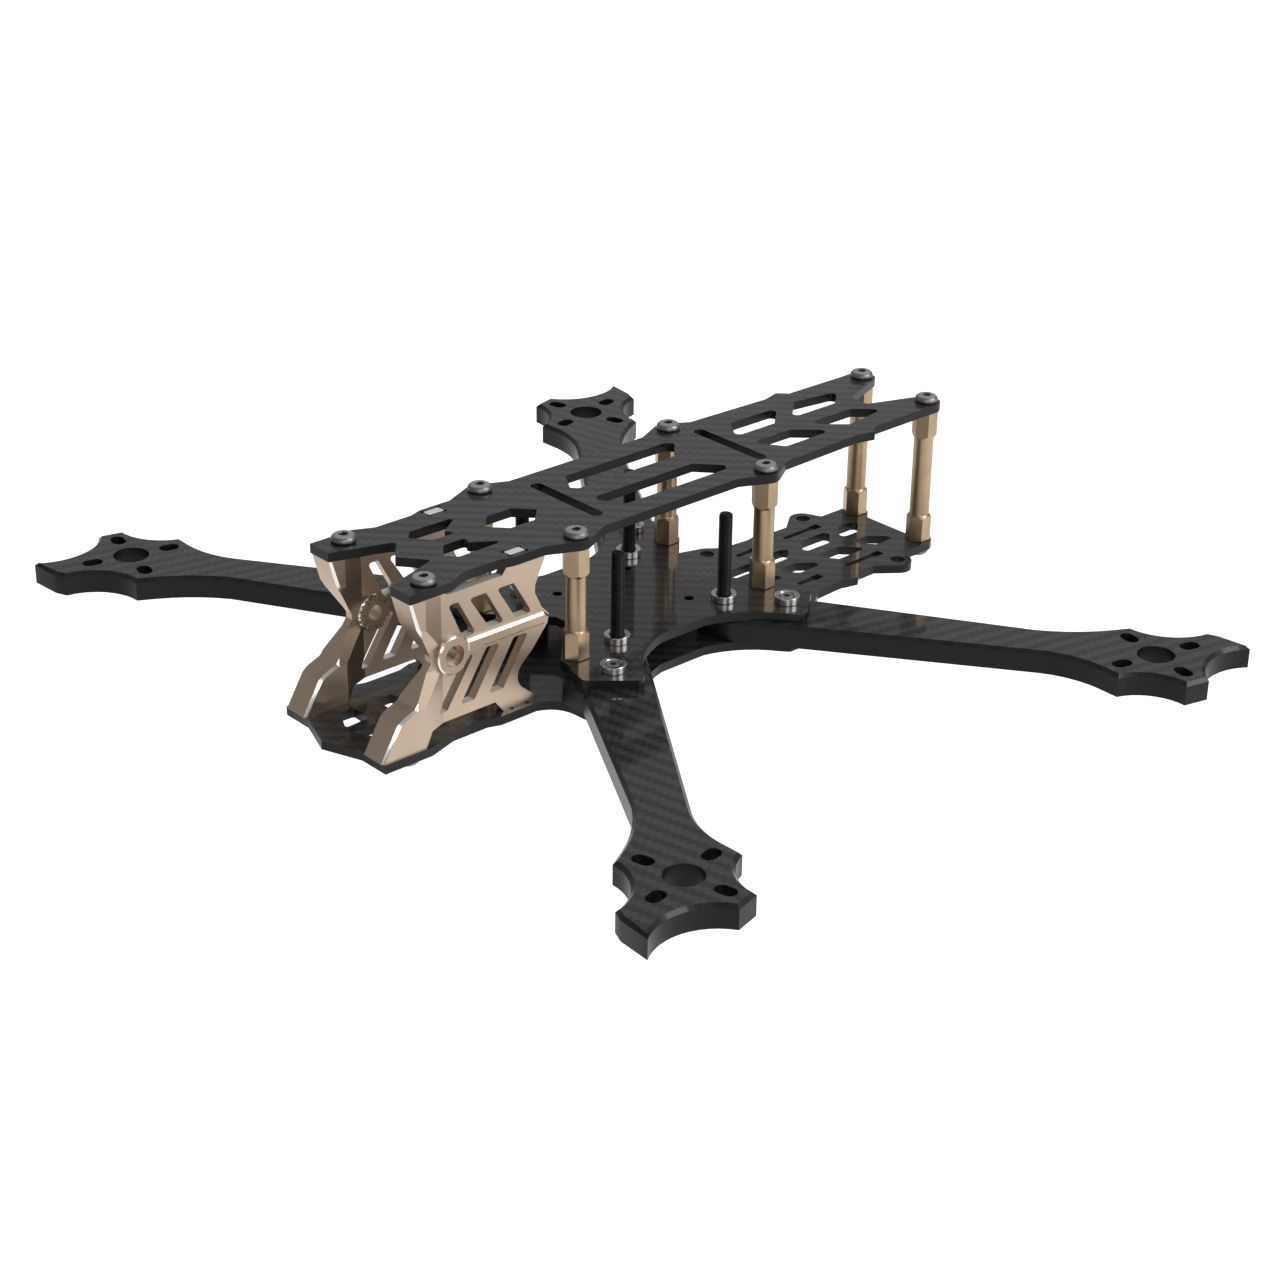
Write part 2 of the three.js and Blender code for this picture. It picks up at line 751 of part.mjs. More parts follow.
// A button-head screw with its head's seat at z = 0 and its shank pointing down. The head is
// undercut below its rim and flat on top.
function buttonScrew(length, endSocket = false) {
  const seatRadius = 2.15;
  const rimFrom = 0.4;
  const rimTo = 0.7;
  const topRadius = 1.85;
  const socketFlats = 2;
  const socketDepth = 1;
  const endSocketFlats = 1.5;
  const endSocketDepth = 0.8;
  const blank = solid(lathe([
    [0, -length],
    [SCREW_RADIUS, -length],
    [SCREW_RADIUS, 0],
    [seatRadius, 0],
    [HEAD_RADIUS, rimFrom],
    [HEAD_RADIUS, rimTo],
    [topRadius, HEAD_HEIGHT],
    [0, HEAD_HEIGHT],
  ], SCREW_FACETS));
  const hexagon = (flats, bottom, top) =>
    solid(upright(flats / Math.sqrt(3), bottom, top, [0, 0], 6));
  const socketed = blank.subtract(
    hexagon(socketFlats, HEAD_HEIGHT - socketDepth, HEAD_HEIGHT + 1));
  return geometryOf(endSocket
    ? socketed.subtract(hexagon(endSocketFlats, -length - 1, -length + endSocketDepth))
    : socketed);
}

function screwDown([x, y], seat, length) {
  return buttonScrew(length).translate(x, y, seat);
}

function screwUp([x, y], seat, length, endSocket) {
  return buttonScrew(length, endSocket).scale(1, -1, -1).translate(x, y, seat);
}

function nut([x, y]) {
  const blank = solid(extrude(circle([0, 0], NUT_RADIUS, 2 * SCREW_FACETS), NUT_HEIGHT));
  const bore = circle([0, 0], HOLE_RADIUS, BOLT_HOLE_FACETS);
  return geometryOf(cutThrough(blank, [bore], 0, NUT_HEIGHT)).translate(x, y, 0);
}

// ---------------------------------------------------------------- assembly

const FINISH = {
  carbon: { color: 0x2a2b2e, roughness: 0.35, metalness: 0.1 },
  sidePlate: { color: 0xb49a7f, roughness: 0.4, metalness: 0.9 },
  standoff: { color: 0xc9a877, roughness: 0.3, metalness: 1 },
  blackSteel: { color: 0x24252a, roughness: 0.4, metalness: 0.8 },
  nut: { color: 0xb9bcc0, roughness: 0.25, metalness: 1 },
};

const group = new THREE.Group();
group.name = 'quadcopter_airframe';

function addPiece(name, geometry, finish) {
  const mesh = new THREE.Mesh(geometry, new THREE.MeshStandardMaterial(finish));
  mesh.name = name;
  group.add(mesh);
}

addPiece('top_plate', topPlate(), FINISH.carbon);
addPiece('mid_plate', midPlate(), FINISH.carbon);
addPiece('lower_plate', lowerPlate(), FINISH.carbon);

const SIDES = [['left', -1], ['right', 1]];
const ENDS = [['front', -1, FRONT_MOTOR], ['rear', 1, REAR_MOTOR]];

for (const [side, sideX] of SIDES) {
  const at = ([x, y]) => [sideX * x, y];
  const shortScrewUp = (position, seat) => screwUp(at(position), seat, SHORT_SCREW);

  addPiece(`camera_plate_${side}`, sidePlate(sideX), FINISH.sidePlate);
  addPiece(`camera_plate_top_screw_${side}`,
    screwDown(at(SIDE_TOP_BOLT), TOP_TOP, SHORT_SCREW), FINISH.blackSteel);
  addPiece(`camera_plate_foot_screw_${side}`,
    shortScrewUp(SIDE_FOOT_BOLT, LOWER_BOTTOM), FINISH.blackSteel);

  addPiece(`tail_standoff_${side}`, standoff(at(REAR_STANDOFF), LOWER_TOP), FINISH.standoff);
  addPiece(`tail_standoff_top_screw_${side}`,
    screwDown(at(REAR_STANDOFF), TOP_TOP, SHORT_SCREW), FINISH.blackSteel);
  addPiece(`tail_standoff_foot_screw_${side}`,
    shortScrewUp(REAR_STANDOFF, LOWER_BOTTOM), FINISH.blackSteel);

  for (const [end, sideY, motor] of ENDS) {
    const atCorner = ([x, y]) => [sideX * x, sideY * y];
    const corner = `${end}_${side}`;
    const throughPlates = -LOWER_BOTTOM;

    addPiece(`arm_${corner}`, arm(sideX, sideY, motor), FINISH.carbon);
    addPiece(`standoff_${corner}`, standoff(atCorner(MID_STANDOFF), 0), FINISH.standoff);
    addPiece(`standoff_top_screw_${corner}`,
      screwDown(atCorner(MID_STANDOFF), TOP_TOP, SHORT_SCREW), FINISH.blackSteel);
    addPiece(`standoff_foot_screw_${corner}`,
      screwUp(atCorner(MID_STANDOFF), MID_BOTTOM, SHORT_SCREW), FINISH.blackSteel);
    addPiece(`stack_screw_${corner}`,
      screwUp(atCorner(STACK), LOWER_BOTTOM, throughPlates + STACK_SCREW_TOP), FINISH.blackSteel);
    addPiece(`stack_nut_${corner}`, nut(atCorner(STACK)), FINISH.nut);
    addPiece(`arm_screw_${corner}`,
      screwUp(atCorner(ARM_BOLT), LOWER_BOTTOM, throughPlates + ARM_SCREW_TOP, true),
      FINISH.blackSteel);
    addPiece(`arm_nut_${corner}`, nut(atCorner(ARM_BOLT)), FINISH.nut);
  }
}

export default group;
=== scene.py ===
import math

import bpy
import bmesh
from mathutils import Matrix, Vector


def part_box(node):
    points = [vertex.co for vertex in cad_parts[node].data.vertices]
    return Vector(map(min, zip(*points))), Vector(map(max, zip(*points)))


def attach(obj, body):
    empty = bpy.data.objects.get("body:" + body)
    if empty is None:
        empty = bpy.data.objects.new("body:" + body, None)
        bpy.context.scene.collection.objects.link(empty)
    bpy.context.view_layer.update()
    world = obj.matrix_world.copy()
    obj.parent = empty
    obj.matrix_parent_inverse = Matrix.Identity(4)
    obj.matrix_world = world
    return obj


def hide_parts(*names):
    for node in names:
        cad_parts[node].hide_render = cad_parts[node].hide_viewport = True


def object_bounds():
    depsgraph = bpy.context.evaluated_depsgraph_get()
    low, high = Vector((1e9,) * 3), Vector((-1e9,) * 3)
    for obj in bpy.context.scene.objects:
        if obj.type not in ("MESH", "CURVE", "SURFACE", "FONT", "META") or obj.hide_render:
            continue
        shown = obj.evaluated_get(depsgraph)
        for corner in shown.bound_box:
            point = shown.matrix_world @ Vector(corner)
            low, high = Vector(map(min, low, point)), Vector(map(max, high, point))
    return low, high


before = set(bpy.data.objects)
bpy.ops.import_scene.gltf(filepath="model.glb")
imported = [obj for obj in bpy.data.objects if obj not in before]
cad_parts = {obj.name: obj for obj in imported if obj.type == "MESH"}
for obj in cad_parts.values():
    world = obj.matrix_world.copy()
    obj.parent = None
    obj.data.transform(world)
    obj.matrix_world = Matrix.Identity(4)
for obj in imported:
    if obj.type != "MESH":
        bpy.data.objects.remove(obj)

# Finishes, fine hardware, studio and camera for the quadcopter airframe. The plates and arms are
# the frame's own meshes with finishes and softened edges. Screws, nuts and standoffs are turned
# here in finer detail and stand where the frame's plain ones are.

MM = 0.001
TAU = 2 * math.pi
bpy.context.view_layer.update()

SIDES = ("left", "right")
ENDS = ("front", "rear")
CORNERS = [f"{end}_{side}" for end in ENDS for side in SIDES]
PLATES = ("top_plate", "mid_plate", "lower_plate")


# ---------------------------------------------------------------- shader building

class Shader:
    """A material and short calls that add nodes to it. Sockets take values or other sockets."""

    def __init__(self, name):
        self.material = bpy.data.materials.new(name)
        self.material.use_nodes = True
        self.tree = self.material.node_tree
        self.surface = self.tree.nodes["Principled BSDF"]
        self.place = self.add("ShaderNodeTexCoord").outputs["Object"]
        self.normal = self.add("ShaderNodeNewGeometry").outputs["Normal"]

    def add(self, kind, **settings):
        node = self.tree.nodes.new(kind)
        for key, value in settings.items():
            setattr(node, key, value)
        return node

    def feed(self, socket, value):
        if isinstance(value, bpy.types.NodeSocket):
            self.tree.links.new(value, socket)
        else:
            socket.default_value = value

    def set(self, **values):
        """Sets the surface's inputs, with underscores for the spaces in their names."""
        for key, value in values.items():
            self.feed(self.surface.inputs[key.replace("_", " ")], value)

    def math(self, operation, first, second=0.0, third=0.0):
        node = self.add("ShaderNodeMath", operation=operation)
        for socket, value in zip(node.inputs, (first, second, third)):
            self.feed(socket, value)
        return node.outputs[0]

    def split(self, vector):
        node = self.add("ShaderNodeSeparateXYZ")
        self.feed(node.inputs[0], vector)
        return node.outputs

    def spun(self, vector, angle, scale):
        node = self.add("ShaderNodeMapping")
        self.feed(node.inputs["Vector"], vector)
        node.inputs["Rotation"].default_value = (0, 0, angle)
        node.inputs["Scale"].default_value = scale
        return node.outputs[0]

    def noise(self, vector, scale, detail=2.0, roughness=0.5):
        node = self.add("ShaderNodeTexNoise")
        self.feed(node.inputs["Vector"], vector)
        node.inputs["Scale"].default_value = scale
        node.inputs["Detail"].default_value = detail
        node.inputs["Roughness"].default_value = roughness
        return node.outputs["Fac"]

    def remap(self, value, from_low, from_high, to_low=0.0, to_high=1.0):
        node = self.add("ShaderNodeMapRange")
        for socket, item in zip(node.inputs, (value, from_low, from_high, to_low, to_high)):
            self.feed(socket, item)
        return node.outputs[0]

    def mix(self, factor, first, second):
        """Mixes two colours, or two numbers."""
        if isinstance(first, bpy.types.NodeSocket):
            is_colour = first.type == "RGBA"
        else:
            is_colour = isinstance(first, tuple)
        node = self.add("ShaderNodeMix", data_type="RGBA" if is_colour else "FLOAT")
        wanted = "RGBA" if is_colour else "VALUE"
        mixed = [socket for socket in node.inputs if socket.name in ("A", "B")]
        first_socket, second_socket = [socket for socket in mixed if socket.type == wanted]
        self.feed(node.inputs[0], factor)
        self.feed(first_socket, first)
        self.feed(second_socket, second)
        return next(socket for socket in node.outputs if socket.type == wanted)

    def bump(self, height, strength, depth, normal=None):
        """Adds relief to the surface, or to a normal that already has some."""
        node = self.add("ShaderNodeBump")
        node.inputs["Strength"].default_value = strength
        node.inputs["Distance"].default_value = depth
        self.feed(node.inputs["Height"], height)
        if normal:
            self.feed(node.inputs["Normal"], normal)
        return node.outputs[0]


# ---------------------------------------------------------------- finishes

# Where most of a noise texture's values lie.
NOISE_SPAN = (0.3, 0.7)

TOW_WIDTH = 1.25 * MM
PLY = 0.25 * MM
FIBRES_ACROSS = 14000
FIBRES_ALONG = 700

# A normal's upright part where a cut edge ends, and where the woven face is complete.
FACE_SPAN = (0.62, 0.95)


def carbon(name, weave_angle):
    """Twill carbon laminate: woven gloss faces, and cut edges that show the plies."""
    s = Shader(name)
    spun = s.spun(s.place, weave_angle, (1 / TOW_WIDTH,) * 3)
    across, along, _ = s.split(spun)
    column = s.math("FLOOR", across)
    row = s.math("FLOOR", along)
    # A two by two twill: the warp lies on top for two steps in every four.
    step = s.math("FLOORED_MODULO", s.math("SUBTRACT", column, row), 4.0)
    warp_on_top = s.math("LESS_THAN", step, 1.5)

    in_column = s.math("FRACT", across)
    in_row = s.math("FRACT", along)
    crown_warp = s.math("SINE", s.math("MULTIPLY", in_column, math.pi))
    crown_weft = s.math("SINE", s.math("MULTIPLY", in_row, math.pi))
    crown = s.mix(warp_on_top, crown_weft, crown_warp)

    fibres_warp = s.noise(s.spun(s.place, weave_angle, (FIBRES_ACROSS, FIBRES_ALONG, 1)), 1.0)
    fibres_weft = s.noise(s.spun(s.place, weave_angle, (FIBRES_ALONG, FIBRES_ACROSS, 1)), 1.0)
    fibres = s.mix(warp_on_top, fibres_weft, fibres_warp)
    patch = s.noise(s.place, 90.0, 3.0)

    # Painted sheen: the warp tows are lighter than the weft, standing in for the fibres' brightness
    # that changes with their direction to the light.
    weft_colour = (0.010, 0.010, 0.0105, 1)
    warp_painted_sheen_colour = (0.028, 0.0282, 0.029, 1)
    fibre_shade = (0.006, 0.006, 0.0065, 1)
    tow_colour_with_painted_sheen = s.mix(warp_on_top, weft_colour, warp_painted_sheen_colour)
    face_colour = s.mix(s.remap(fibres, *NOISE_SPAN, 0.0, 0.45), tow_colour_with_painted_sheen, fibre_shade)

    height = s.split(s.place)[2]
    ply = s.math("FRACT", s.math("DIVIDE", height, PLY))
    grit = s.noise(s.place, 5200.0, 3.0)
    ply_line = s.remap(s.math("ABSOLUTE", s.math("SUBTRACT", ply, 0.5)), 0.25, 0.5)
    ply_colour = (0.004, 0.004, 0.0045, 1)
    ply_line_colour = (0.016, 0.016, 0.017, 1)
    edge_colour = s.mix(s.math("MULTIPLY", ply_line, grit), ply_colour, ply_line_colour)

    facing = s.math("ABSOLUTE", s.split(s.normal)[2])
    is_face = s.remap(facing, *FACE_SPAN)
    s.set(
        Base_Color=s.mix(is_face, edge_colour, face_colour),
        Roughness=s.mix(is_face, s.remap(grit, 0.2, 0.8, 0.3, 0.42),
                        s.remap(patch, *NOISE_SPAN, 0.32, 0.42)),
        Specular_IOR_Level=0.22,
        Coat_Weight=s.math("MULTIPLY", is_face, 0.75),
        Coat_Roughness=0.06,
    )
    weave = s.bump(crown, 0.10, 0.05 * MM)
    s.set(Normal=s.bump(s.mix(is_face, grit, fibres), 0.12, 0.02 * MM, weave))
    return s.material


def anodised(name, colour, deep_colour, grain_scale, roughness):
    """Blasted and anodised aluminium. Its top is painted paler as painted light from above, and the
    chamfers round its broad sides are painted near white as a painted highlight.
    """
    s = Shader(name)
    grain = s.noise(s.place, grain_scale, 4.0, 0.6)
    cloud = s.noise(s.place, 120.0, 2.0)
    sideways, _, upward = s.split(s.normal)
    lean = s.math("ABSOLUTE", sideways)
    top_with_painted_light = s.math("GREATER_THAN", upward, 0.95)
    # The broad sides face left and right, so a chamfer's normal is about 0.71 sideways.
    chamfer_with_painted_highlight = s.math("MULTIPLY", s.math("GREATER_THAN", lean, 0.6),
                        s.math("LESS_THAN", lean, 0.82))
    # Painted light: the upward top face gets a paler colour, standing in for light falling from
    # above.
    painted_top_light_colour = (0.55, 0.54, 0.50, 1)
    # Painted highlight: the chamfers get a near-white colour, standing in for the light they catch.
    painted_chamfer_highlight_colour = (0.88, 0.85, 0.80, 1)
    body = s.mix(s.remap(cloud, *NOISE_SPAN, 0.0, 0.6), colour, deep_colour)
    blasted = s.remap(grain, *NOISE_SPAN, roughness, roughness + 0.1)
    s.set(
        Base_Color=s.mix(chamfer_with_painted_highlight, s.mix(top_with_painted_light, body, painted_top_light_colour), painted_chamfer_highlight_colour),
        Metallic=s.mix(top_with_painted_light, 1.0, 0.3),
        Roughness=s.mix(chamfer_with_painted_highlight, blasted, 0.18),
        Normal=s.bump(grain, 0.08, 0.02 * MM),
    )
    return s.material


def turned_metal(name, colour, dark_colour, roughness, metallic=1.0, crown=None):
    """Turned metal with fine rings and a little wear. The crown colour is painted light: upward faces
    are mixed towards it, a paler top standing in for light from above.
    """
    s = Shader(name)
    rings = s.noise(s.spun(s.place, 0.0, (200, 200, 16000)), 1.0, 2.0)
    wear = s.noise(s.place, 260.0, 2.0, 0.5)
    tint = s.mix(s.remap(wear, *NOISE_SPAN), colour, dark_colour)
    if crown:
        # Painted light: upward faces turn towards the paler crown colour.
        upward = s.split(s.normal)[2]
        tint = s.mix(s.remap(upward, 0.7, 0.92), tint, crown)
    s.set(
        Base_Color=tint,
        Metallic=metallic,
        Roughness=s.remap(wear, *NOISE_SPAN, roughness, roughness + 0.06),
        Normal=s.bump(rings, 0.03, 0.01 * MM),
    )
    return s.material


# ---------------------------------------------------------------- turned pieces

SIXTH = math.pi / 3
TURNED_CREASE = 28


def round_ring(radius, height):
    return lambda angle: (radius, height)


def hex_reach(angle, flats):
    """How far a hexagon's wall is from its centre in one direction. Two flats face left and right."""
    off_flat = (angle + SIXTH / 2) % SIXTH - SIXTH / 2
    return flats / 2 / math.cos(off_flat)


def hex_ring(flats, height):
    return lambda angle: (hex_reach(angle, flats), height)


def turned(name, rings, centre, foot, segments, closed=False, flip=False):
    """
    A solid made of rings round one upright axis. A ring gives (radius, height) for each angle.
    A closed solid has a hole through it, and a flipped one is upside down.
    """
    mesh = bmesh.new()
    sign = -1 if flip else 1
    loops = []
    for ring in rings:
        loop = []
        for i in range(segments):
            angle = TAU * i / segments
            radius, height = ring(angle)
            loop.append(mesh.verts.new((
                centre.x + radius * math.cos(angle) * MM,
                centre.y + sign * radius * math.sin(angle) * MM,
                foot + sign * height * MM,
            )))
        loops.append(loop)
    pairs = list(zip(loops, loops[1:]))
    if closed:
        pairs.append((loops[-1], loops[0]))
    for low, high in pairs:
        for i in range(segments):
            j = (i + 1) % segments
            mesh.faces.new((low[i], low[j], high[j], high[i]))
    if not closed:
        mesh.faces.new(loops[0][::-1])
        mesh.faces.new(loops[-1])
    bmesh.ops.recalc_face_normals(mesh, faces=mesh.faces[:])
    for face in mesh.faces:
        face.smooth = True
    data = bpy.data.meshes.new(name)
    mesh.to_mesh(data)
    mesh.free()
    data.set_sharp_from_angle(angle=math.radians(TURNED_CREASE))
    piece = bpy.data.objects.new(name, data)
    bpy.context.collection.objects.link(piece)
    return piece


def stands_for(piece, node, material):
    """Puts a finer piece in the place of one of the frame's own."""
    piece.data.materials.append(material)
    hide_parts(node)
    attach(piece, "root")


def centre_of(node):
    low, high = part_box(node)
    return (low + high) / 2


# ---------------------------------------------------------------- screws

SHANK = 1.5
NECK = 0.3
PLAIN_SHANK = 6.0
THREAD_PITCH = 0.5
THREAD_DEPTH = 0.3
CUTS_PER_PITCH = 8

# The thread's tip narrows over its last stretch, and its grooves are shallower there.
TIP_TAPER = 0.4
TIP_FULLNESS = 0.3
TIP_NARROWING = 0.25

HEAD = 2.6
HEAD_SEAT = 2.2
HEAD_RIM_FOOT = 0.4
HEAD_RIM = 0.55
HEAD_CROWN = 1.5
HEAD_HEIGHT = 1.6
DOME_STEPS = 7

SOCKET_FLATS = 1.7
SOCKET_CHAMFER = 0.12
SOCKET_FLOOR = 0.1
END_SOCKET_FLATS = 1.3
END_SOCKET_DEPTH = 0.8


def thread_ring(height, length):
    """One cut through an M3 thread. The crest winds round once in each pitch."""
    fullness = min(1.0, (height + length) / TIP_TAPER + TIP_FULLNESS)
    crest = SHANK - TIP_NARROWING * (1 - fullness)
    depth = THREAD_DEPTH * min(1.0, fullness + 0.4)

    def ring(angle):
        phase = height / THREAD_PITCH - angle / TAU
        groove = 0.5 + 0.5 * math.cos(TAU * phase)
        return crest - depth * groove, height
    return ring


def thread_rings(length, threaded_from):
    count = round((length + threaded_from) / THREAD_PITCH * CUTS_PER_PITCH)
    return [thread_ring(i * THREAD_PITCH / CUTS_PER_PITCH - length, length) for i in range(count)]


def socket_end_rings(length):
    """A flat tip with a small hexagon socket and a chamfered rim."""
    chamfer = 0.12
    rim = SHANK - 0.03
    return [
        hex_ring(END_SOCKET_FLATS, END_SOCKET_DEPTH - length),
        hex_ring(END_SOCKET_FLATS, -length),
        round_ring(rim - chamfer, -length),
        round_ring(rim, 0.1 - length),
    ]


def head_rings(threaded_from):
    """From the plain shank out under the head, over its dome and down into its socket."""
    rings = [
        round_ring(SHANK, threaded_from),
        round_ring(SHANK, 0),
        round_ring(HEAD_SEAT, 0),
        round_ring(HEAD, HEAD_RIM_FOOT),
    ]
    for i in range(DOME_STEPS + 1):
        rise = math.pi / 2 * i / DOME_STEPS
        radius = HEAD_CROWN + (HEAD - HEAD_CROWN) * math.cos(rise)
        height = HEAD_RIM + (HEAD_HEIGHT - HEAD_RIM) * math.sin(rise)
        rings.append(round_ring(radius, height))
    return rings + [
        hex_ring(SOCKET_FLATS + 2 * SOCKET_CHAMFER, HEAD_HEIGHT),
        hex_ring(SOCKET_FLATS, HEAD_HEIGHT - SOCKET_CHAMFER),
        hex_ring(SOCKET_FLATS, SOCKET_FLOOR),
    ]


def screw_rings(length, threaded_from, socket_in_end):
    """From the tip, at -length, up to the head. The head's seat is at zero."""
    thread = thread_rings(length, threaded_from)
    if socket_in_end:
        cuts_in_rim = 3
        thread = socket_end_rings(length) + thread[cuts_in_rim:]
    return thread + head_rings(threaded_from)


def add_screw(node, from_below, material, threaded_from, socket_in_end=False):
    low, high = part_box(node)
    length = (high.z - low.z) / MM - HEAD_HEIGHT
    seat = low.z + HEAD_HEIGHT * MM if from_below else high.z - HEAD_HEIGHT * MM
    rings = screw_rings(length, threaded_from, socket_in_end)
    piece = turned(f"{node}_fine", rings, centre_of(node), seat, 36, flip=from_below)
    stands_for(piece, node, material)


# ---------------------------------------------------------------- standoffs and nuts

STANDOFF_FLATS = 5.0
STANDOFF_WAIST = 2.25
HEX_LENGTH = 5.7
SHOULDER = 0.75
BORE = 1.65
BORE_DEPTH = 7.0


def shoulder_ring(base, direction):
    """Where the shoulder's cone cuts the hexagon. The flats run further along than the corners."""
    widest = STANDOFF_FLATS / 2 / math.cos(SIXTH / 2)
    cone_slope = 1.6

    def ring(angle):
        reach = hex_reach(angle, STANDOFF_FLATS)
        return reach, base + direction * (widest - reach) * cone_slope
    return ring


def standoff_end_rings(end, direction):
    """One end's rings, from the floor of its bore out round its hexagon and in to the waist."""
    def along(distance):
        return end + direction * distance

    shoulder_end = HEX_LENGTH + SHOULDER
    return [
        round_ring(BORE, along(BORE_DEPTH)),
        round_ring(BORE, along(0.0)),
        hex_ring(STANDOFF_FLATS - 0.35, along(0.0)),
        hex_ring(STANDOFF_FLATS, along(0.2)),
        shoulder_ring(along(HEX_LENGTH), direction),
        round_ring(STANDOFF_WAIST + 0.05, along(shoulder_end + 0.05)),
        round_ring(STANDOFF_WAIST, along(shoulder_end + 0.2)),
    ]


def add_standoff(node, material):
    low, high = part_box(node)
    height = (high.z - low.z) / MM
    rings = standoff_end_rings(0.0, 1) + standoff_end_rings(height, -1)[::-1]
    piece = turned(f"{node}_fine", rings, centre_of(node), low.z, 96)
    stands_for(piece, node, material)


def add_nut(node, material):
    low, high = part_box(node)
    height = (high.z - low.z) / MM
    outside = (high.x - low.x) / 2 / MM
    chamfer = 0.12
    bore = 1.62
    rings = [
        round_ring(outside - chamfer, 0),
        round_ring(outside, chamfer),
        round_ring(outside, height - chamfer),
        round_ring(outside - chamfer, height),
        round_ring(bore + 2 * chamfer, height),
        round_ring(bore, height - 2 * chamfer),
        round_ring(bore, 0),
    ]
    piece = turned(f"{node}_fine", rings, centre_of(node), low.z, 48, closed=True)
    stands_for(piece, node, material)


# ---------------------------------------------------------------- frame meshes

WELD_DISTANCE = 0.001 * MM
BEVELLED_ANGLE = 35

# How wide a softened edge is, and the least angle in degrees that stays a crease.
CARBON_EDGE = (0.12 * MM, 28)
SIDE_METAL_EDGE = (0.18 * MM, 17)


def smooth_shading_nodes():
    """For a modifier: it drops the normals a mesh came with and shades every face smooth."""
    group = bpy.data.node_groups.new("smooth_shading", "GeometryNodeTree")
    for direction in ("INPUT", "OUTPUT"):
        group.interface.new_socket("Geometry", in_out=direction, socket_type="NodeSocketGeometry")
    source = group.nodes.new("NodeGroupInput")
    unset = group.nodes.new("GeometryNodeRemoveAttribute")
    unset.inputs["Name"].default_value = "custom_normal"
    smooth = group.nodes.new("GeometryNodeSetShadeSmooth")
    smooth.inputs["Shade Smooth"].default_value = True
    result = group.nodes.new("NodeGroupOutput")
    steps = (source, unset, smooth, result)
    for step, following in zip(steps, steps[1:]):
        group.links.new(step.outputs[0], following.inputs[0])
    return group


SMOOTH_SHADING = smooth_shading_nodes()


def finish_node(name, material, edge):
    """Gives a frame mesh its finish, softened edges, and smooth curves between its creases."""
    bevel, crease = edge
    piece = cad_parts[name]
    piece.material_slots[0].material = material
    shading = piece.modifiers.new("smooth", "NODES")
    shading.node_group = SMOOTH_SHADING
    weld = piece.modifiers.new("join", "WELD")
    weld.merge_threshold = WELD_DISTANCE
    softened = piece.modifiers.new("edges", "BEVEL")
    softened.width = bevel
    softened.segments = 1
    softened.limit_method = "ANGLE"
    softened.angle_limit = math.radians(BEVELLED_ANGLE)
    softened.harden_normals = True
    crisp = piece.modifiers.new("crisp", "EDGE_SPLIT")
    crisp.split_angle = math.radians(crease)


# ---------------------------------------------------------------- build

ARM_ANGLE = math.radians(33)

plate_carbon = carbon("plate_carbon", 0.0)
arm_carbon = {1: carbon("arm_carbon_a", -ARM_ANGLE), -1: carbon("arm_carbon_b", ARM_ANGLE)}
side_metal = anodised(
    "champagne_anodised", (0.52, 0.405, 0.31, 1), (0.46, 0.355, 0.27, 1),
    grain_scale=5000.0, roughness=0.34)
standoff_metal = turned_metal(
    "gold_anodised", (0.45, 0.335, 0.215, 1), (0.41, 0.30, 0.19, 1), roughness=0.34)
black_steel = turned_metal(
    "black_oxide", (0.028, 0.028, 0.03, 1), (0.015, 0.015, 0.016, 1), roughness=0.36, metallic=0.7)
# The heads' pale crown colour is painted light on their upward faces.
head_steel = turned_metal(
    "gunmetal", (0.24, 0.235, 0.225, 1), (0.19, 0.185, 0.18, 1), roughness=0.42,
    crown=(0.62, 0.61, 0.60, 1))
bright_steel = turned_metal(
    "bright_steel", (0.74, 0.73, 0.70, 1), (0.62, 0.61, 0.59, 1), roughness=0.2)

for plate in PLATES:
    finish_node(plate, plate_carbon, CARBON_EDGE)

for side in SIDES:
    finish_node(f"camera_plate_{side}", side_metal, SIDE_METAL_EDGE)
    add_standoff(f"tail_standoff_{side}", standoff_metal)
    for part in ("camera_plate", "tail_standoff"):
        add_screw(f"{part}_top_screw_{side}", False, head_steel, -NECK)
        add_screw(f"{part}_foot_screw_{side}", True, head_steel, -NECK)

for corner in CORNERS:
    lean = 1 if corner in ("front_left", "rear_right") else -1
    finish_node(f"arm_{corner}", arm_carbon[lean], CARBON_EDGE)
    add_standoff(f"standoff_{corner}", standoff_metal)
    add_screw(f"standoff_top_screw_{corner}", False, head_steel, -NECK)
    add_screw(f"standoff_foot_screw_{corner}", True, head_steel, -NECK)
    add_screw(f"stack_screw_{corner}", True, black_steel, -PLAIN_SHANK)
    add_screw(f"arm_screw_{corner}", True, head_steel, -PLAIN_SHANK, socket_in_end=True)
    add_nut(f"stack_nut_{corner}", bright_steel)
    add_nut(f"arm_nut_{corner}", bright_steel)


# ---------------------------------------------------------------- studio

FLOOR_DROP = 250 * MM


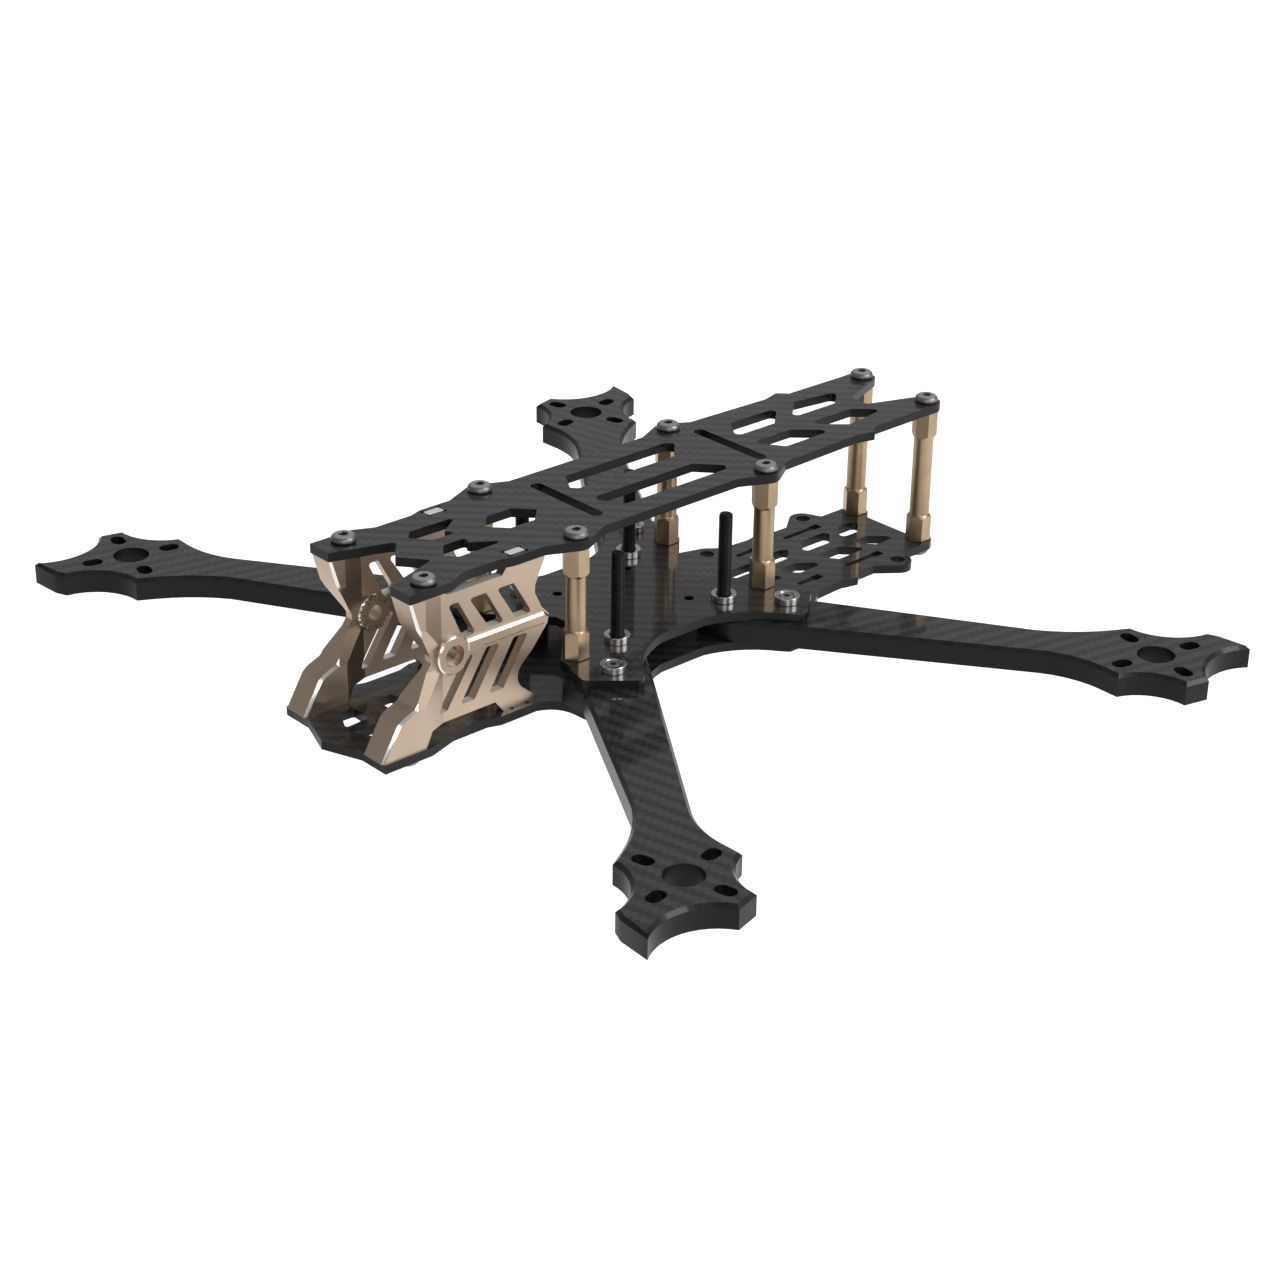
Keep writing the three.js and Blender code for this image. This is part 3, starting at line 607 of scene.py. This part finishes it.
def add_floor():
    """A plain pale floor, far enough below that the airframe casts no shadow the camera sees."""
    size = 12.0
    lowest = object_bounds()[0][2]
    bpy.ops.mesh.primitive_plane_add(size=size, location=(0, 0, lowest - FLOOR_DROP))
    floor = bpy.context.active_object
    floor.name = "studio_floor"
    s = Shader("studio_floor")
    s.set(Base_Color=(0.9, 0.9, 0.9, 1), Roughness=0.9)
    floor.data.materials.append(s.material)


def add_softbox(name, position, size, watts, aim=(0, 0, 0)):
    light = bpy.data.lights.new(name, "AREA")
    light.energy = watts
    light.shape = "RECTANGLE"
    light.size, light.size_y = size
    lamp = bpy.data.objects.new(name, light)
    lamp.location = position
    lamp.rotation_euler = (Vector(position) - Vector(aim)).to_track_quat("Z", "Y").to_euler()
    bpy.context.collection.objects.link(lamp)
    return lamp


def add_sky(strength):
    world = bpy.data.worlds.new("studio")
    world.use_nodes = True
    background = world.node_tree.nodes["Background"]
    background.inputs["Color"].default_value = (1, 1, 1, 1)
    background.inputs["Strength"].default_value = strength
    bpy.context.scene.world = world


def add_camera():
    """The azimuth is counted from the front of the airframe towards its right."""
    azimuth = math.radians(47.57)
    elevation = math.radians(26.27)
    roll = math.radians(0.78)
    distance = 569.7 * MM
    aim_right = 3.64 * MM
    aim_up = -9.45 * MM
    back = Vector((
        math.sin(azimuth) * math.cos(elevation),
        -math.cos(azimuth) * math.cos(elevation),
        math.sin(elevation),
    ))
    level_right = Vector((math.cos(azimuth), math.sin(azimuth), 0))
    level_up = back.cross(level_right)
    right = level_right * math.cos(roll) + level_up * math.sin(roll)
    up = level_up * math.cos(roll) - level_right * math.sin(roll)
    data = bpy.data.cameras.new("photo_camera")
    data.sensor_width = 36
    data.lens = 74.71
    camera = bpy.data.objects.new("photo_camera", data)
    position = right * aim_right + up * aim_up + back * distance
    axes = Matrix((right, up, back)).transposed()
    camera.matrix_world = Matrix.Translation(position) @ axes.to_4x4()
    bpy.context.collection.objects.link(camera)
    bpy.context.scene.camera = camera


add_floor()
add_softbox("key", (1.18, 0.63, 0.84), (0.9, 0.9), 16)
add_softbox("side_strip", (0.96, -0.58, 0.40), (0.5, 0.45), 2.5)
floor_light = add_softbox("floor_light", (-1.1, 1.0, 1.5), (1.8, 1.8), 50, aim=(-1.1, 1.0, 0))
floor_light.visible_glossy = False
add_sky(0.34)
add_camera()
bpy.context.scene.view_settings.view_transform = "Standard"
